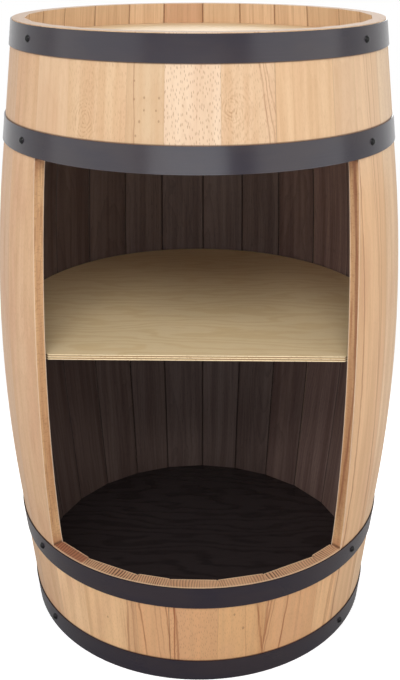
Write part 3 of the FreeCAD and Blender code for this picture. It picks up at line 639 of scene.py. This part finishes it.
def floor_material(name):
    """Pale floor that keeps the shadow near the barrel and runs out into white."""
    g = Graph(name)
    position, _ = g.place()
    x, y, _ = g.split(position)
    far = g.step(g.length(x, y), FLOOR_NEAR, FLOOR_FAR)
    path = g.tree.nodes.new("ShaderNodeLightPath")
    seen = g.math("MAXIMUM", path.outputs["Is Camera Ray"], path.outputs["Is Transmission Ray"])
    seen = g.math("MAXIMUM", seen, g.mul(path.outputs["Is Glossy Ray"], far))
    plain = g.tree.nodes.new("ShaderNodeBsdfDiffuse")
    plain.inputs["Color"].default_value = (0.5, 0.5, 0.5, 1.0)
    lit = g.tree.nodes.new("ShaderNodeBsdfDiffuse")
    lit.inputs["Color"].default_value = (1.0, 1.0, 1.0, 1.0)
    lift = g.tree.nodes.new("ShaderNodeEmission")
    lift.inputs["Strength"].default_value = FLOOR_LIFT
    near = g.tree.nodes.new("ShaderNodeAddShader")
    g.tree.links.new(lit.outputs[0], near.inputs[0])
    g.tree.links.new(lift.outputs[0], near.inputs[1])
    white = g.tree.nodes.new("ShaderNodeEmission")
    shown = g.tree.nodes.new("ShaderNodeMixShader")
    g.tree.links.new(far, shown.inputs["Fac"])
    g.tree.links.new(near.outputs[0], shown.inputs[1])
    g.tree.links.new(white.outputs[0], shown.inputs[2])
    both = g.tree.nodes.new("ShaderNodeMixShader")
    g.tree.links.new(seen, both.inputs["Fac"])
    g.tree.links.new(plain.outputs[0], both.inputs[1])
    g.tree.links.new(shown.outputs[0], both.inputs[2])
    g.tree.links.new(both.outputs[0], g.out.inputs["Surface"])
    return g.material


bpy.ops.mesh.primitive_plane_add(size=12.0, location=(0.0, 0.0, 0.0))
floor = bpy.context.object
floor.name = "floor"
floor.data.materials.append(floor_material("floor"))

# White surroundings
world = bpy.data.worlds.new("studio")
bpy.context.scene.world = world
world.use_nodes = True
tree = world.node_tree
tree.nodes.clear()
path = tree.nodes.new("ShaderNodeLightPath")
soft = tree.nodes.new("ShaderNodeBackground")
soft.inputs["Color"].default_value = (0.96, 0.98, 1.0, 1.0)
soft.inputs["Strength"].default_value = SOFT_LIGHT
white = tree.nodes.new("ShaderNodeBackground")
white.inputs["Color"].default_value = (1.0, 1.0, 1.0, 1.0)
white.inputs["Strength"].default_value = 1.0
blend = tree.nodes.new("ShaderNodeMixShader")
out = tree.nodes.new("ShaderNodeOutputWorld")
seen = path.outputs["Is Camera Ray"]
for kind in ("Is Glossy Ray", "Is Transmission Ray"):
    either = tree.nodes.new("ShaderNodeMath")
    either.operation = "MAXIMUM"
    tree.links.new(seen, either.inputs[0])
    tree.links.new(path.outputs[kind], either.inputs[1])
    seen = either.outputs[0]
tree.links.new(seen, blend.inputs["Fac"])
tree.links.new(soft.outputs[0], blend.inputs[1])
tree.links.new(white.outputs[0], blend.inputs[2])
tree.links.new(blend.outputs[0], out.inputs["Surface"])


def lamp(name, place, aim, size, power, color=(1.0, 1.0, 1.0)):
    data = bpy.data.lights.new(name, "AREA")
    data.shape = "RECTANGLE"
    data.size, data.size_y = size
    data.energy = power
    data.color = color
    item = bpy.data.objects.new(name, data)
    item.location = place
    item.rotation_euler = (Vector(aim) - Vector(place)).to_track_quat("-Z", "Y").to_euler()
    bpy.context.scene.collection.objects.link(item)


lamp("key", (-0.2, -2.0, 2.3), (0.0, 0.0, 0.6), (1.6, 1.0), 29.5, (1.0, 0.99, 0.97))
lamp("front", (-0.2, -2.4, 0.66), (0.0, 0.0, 0.66), (1.8, 0.25), 6.5, (0.93, 0.96, 1.0))
lamp("fill_right", (1.9, -1.2, 1.0), (0.0, 0.0, 0.4), (2.4, 1.9), 18.0)
lamp("fill_left", (-1.9, -1.2, 1.0), (0.0, 0.0, 0.4), (2.4, 1.9), 14.5)
lamp("top", (0.0, 0.2, 2.4), (0.0, 0.0, 0.7), (1.4, 1.4), 2.0)
lamp("back", (0.3, 2.2, 1.7), (0.0, 0.0, 0.5), (1.8, 1.6), 27.0)

# Camera, from the fit to the photo; the barrel is turned a little in the photo
FOCAL = 982.99
CENTRE_X, CENTRE_Y = 198.94, 224.22
CAMERA_DISTANCE, CAMERA_HEIGHT = 1251.81, 896.16
CAMERA_PITCH = 0.2865
CAMERA_TURN = math.radians(1.1)
PICTURE_WIDTH, PICTURE_HEIGHT = 400.0, 680.0
camera_data = bpy.data.cameras.new("camera")
camera_data.sensor_fit = "AUTO"
camera_data.sensor_width = 36.0
camera_data.lens = FOCAL / PICTURE_HEIGHT * camera_data.sensor_width
camera_data.shift_x = (PICTURE_WIDTH / 2 - CENTRE_X) / PICTURE_HEIGHT
camera_data.shift_y = (CENTRE_Y - PICTURE_HEIGHT / 2) / PICTURE_HEIGHT
camera_data.clip_end = 50.0
camera = bpy.data.objects.new("camera", camera_data)
aside = CAMERA_DISTANCE * math.sin(CAMERA_TURN)
before = AXIS_Y - CAMERA_DISTANCE * math.cos(CAMERA_TURN)
camera.location = (aside / 1000, before / 1000, CAMERA_HEIGHT / 1000)
camera.rotation_euler = (math.pi / 2 - CAMERA_PITCH, 0.0, CAMERA_TURN)
bpy.context.scene.collection.objects.link(camera)
bpy.context.scene.camera = camera
bpy.context.scene.view_settings.view_transform = "Standard"
